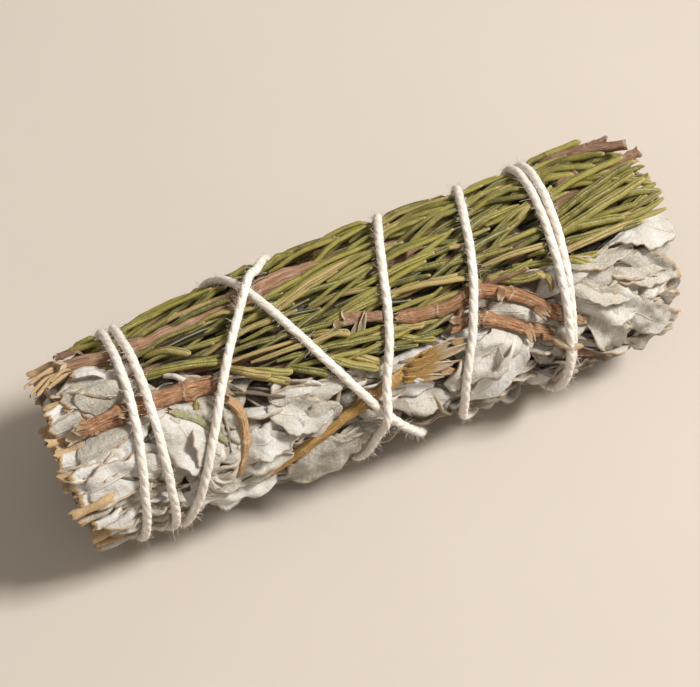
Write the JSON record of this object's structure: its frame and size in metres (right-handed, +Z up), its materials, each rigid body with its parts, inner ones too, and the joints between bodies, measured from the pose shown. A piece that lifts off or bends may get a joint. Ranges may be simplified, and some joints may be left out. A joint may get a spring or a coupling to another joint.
{
  "type": "sage bunch",
  "caption": "Short thick bundle of dried sage leaves with rosemary along its upper back, wound over and back with cotton twine, lying on its side.",
  "frame": {"origin": "on the surface that the bundle lies on, below the middle of its overall box", "axes": "+X along the bundle from its cut stalks to its leafy tips, +Z up, the sage's front side towards -Y"},
  "size_m": [0.1175, 0.0431, 0.0408],
  "materials": {
    "sage_leaf": "matte, felted dried leaf",
    "rosemary": "dry needle, slightly waxy",
    "brown_bark": "dry cracked bark",
    "dry_stem": "dry fibrous stem",
    "green_stem": "dry woolly stem",
    "twine": "soft twisted cotton"
  },
  "bodies": {
    "root": {"sage_leaves": "sage_leaf", "rosemary_sprig_1": "rosemary", "rosemary_sprig_2": "rosemary", "rosemary_sprig_3": "rosemary", "rosemary_sprig_4": "rosemary", "rosemary_sprig_5": "rosemary", "rosemary_sprig_6": "rosemary", "rosemary_sprig_7": "rosemary", "rosemary_sprig_8": "rosemary", "brown_twig_1": "brown_bark", "brown_twig_2": "brown_bark", "brown_twig_3": "brown_bark", "brown_twig_4": "brown_bark", "golden_stem": "dry_stem", "tan_stem": "dry_stem", "grey_green_stem": "green_stem", "cotton_twine": "twine"}
  },
  "joints": []
}
